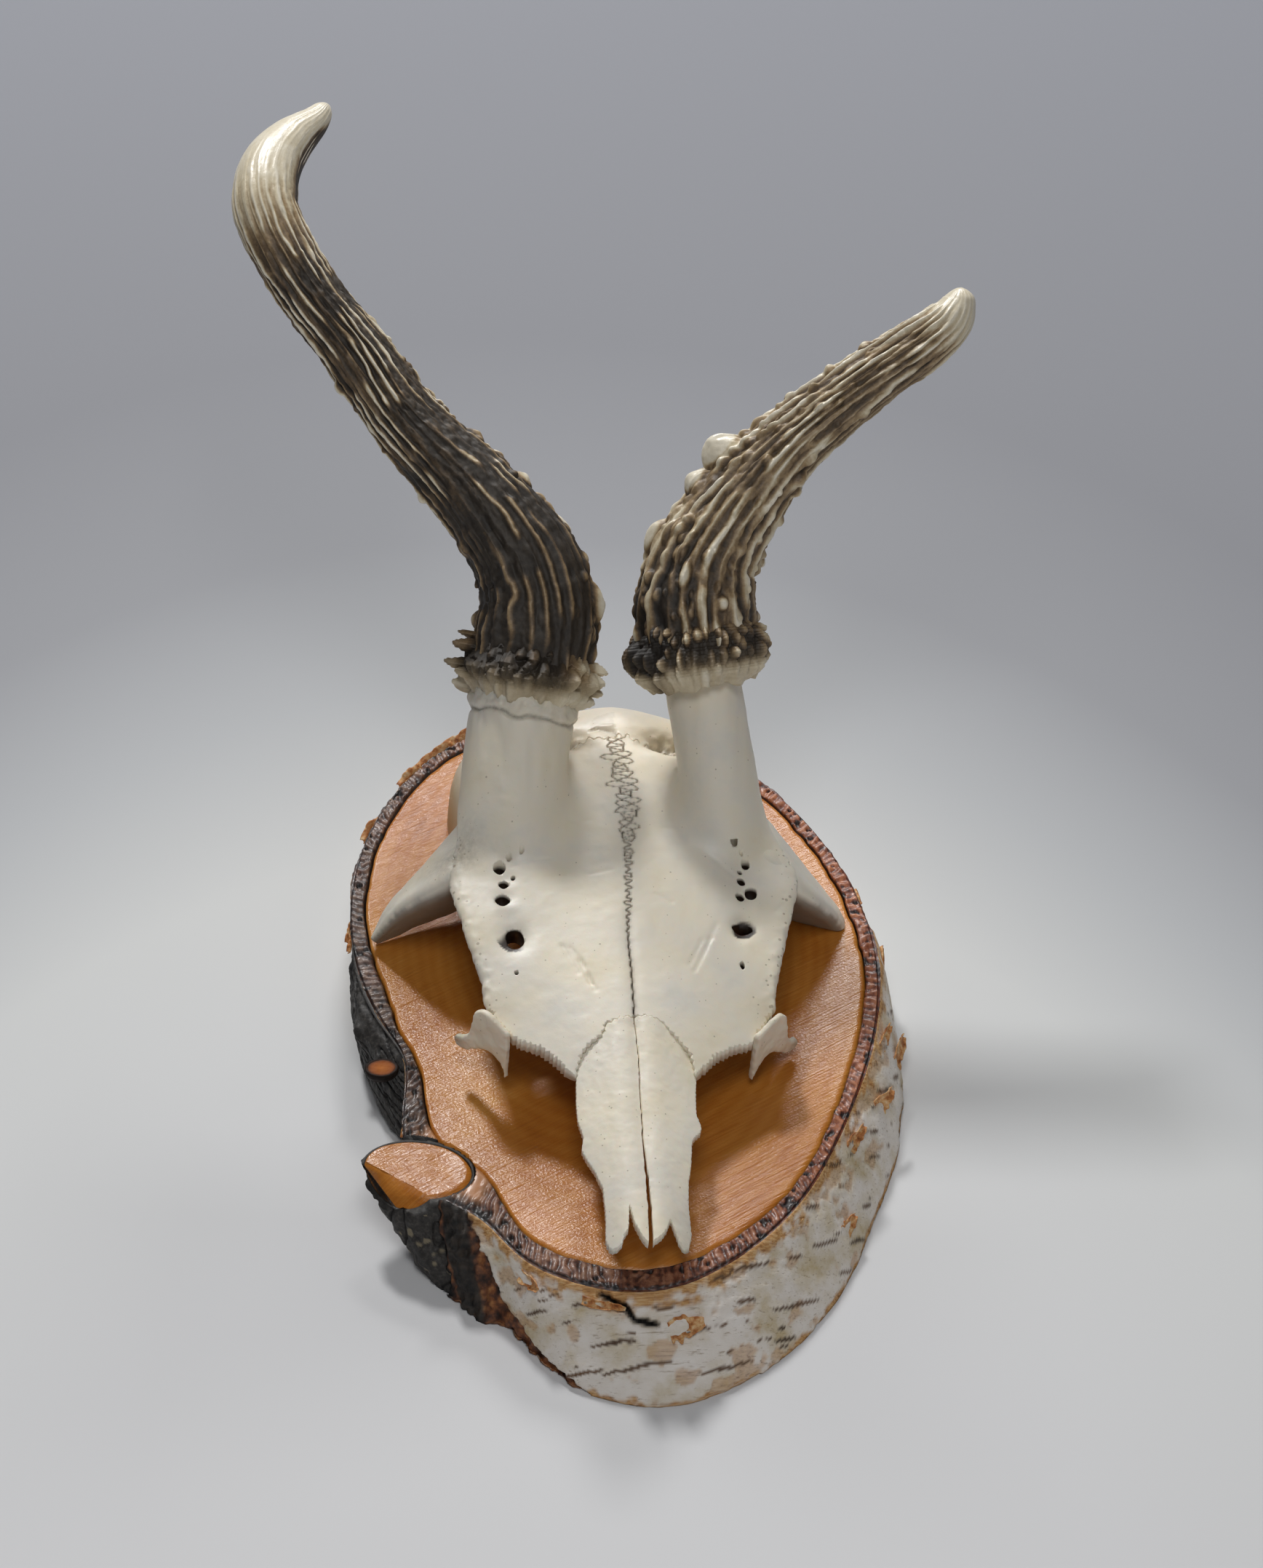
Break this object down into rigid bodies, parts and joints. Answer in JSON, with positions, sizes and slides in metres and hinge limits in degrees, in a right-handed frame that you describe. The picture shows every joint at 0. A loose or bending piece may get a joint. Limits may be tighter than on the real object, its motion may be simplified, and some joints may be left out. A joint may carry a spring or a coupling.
{
  "type": "roe deer skull trophy on a birch slice",
  "caption": "Short-cut roe buck skull with two single-beam antlers, fixed face up on an oblique slice of birch trunk with its bark and a sawn branch stub",
  "frame": {"origin": "the middle of the plaque's flat sawn back, under the middle of its oval face", "axes": "+Z out of the plaque's sawn face, +Y along the plaque towards the antler tips, +X to the right of a viewer who faces the nose"},
  "size_m": [0.1426, 0.239, 0.1253],
  "materials": {
    "birch_wood": "varnished",
    "birch_bark": "rough natural bark",
    "dark_bark": "rough dark bark",
    "bone": "bleached bone, fine pored",
    "antler": "ridged antler, polished on its ridges"
  },
  "bodies": {
    "root": {"plaque_wood": "birch_wood", "plaque_bark": "birch_bark", "branch_scar": "dark_bark", "branch_stub_wood": "birch_wood", "branch_stub_bark": "dark_bark", "interorbital_wall": "bone", "parietal": "bone", "occipital": "bone", "temporal_left": "bone", "temporal_right": "bone", "frontal_left": "bone", "frontal_right": "bone", "postorbital_arch_left": "bone", "postorbital_arch_right": "bone", "nasal_left": "bone", "nasal_right": "bone", "lacrimal_left": "bone", "lacrimal_right": "bone", "burr_left": "antler", "burr_right": "antler", "antler_left": "antler", "antler_right": "antler"}
  },
  "joints": []
}
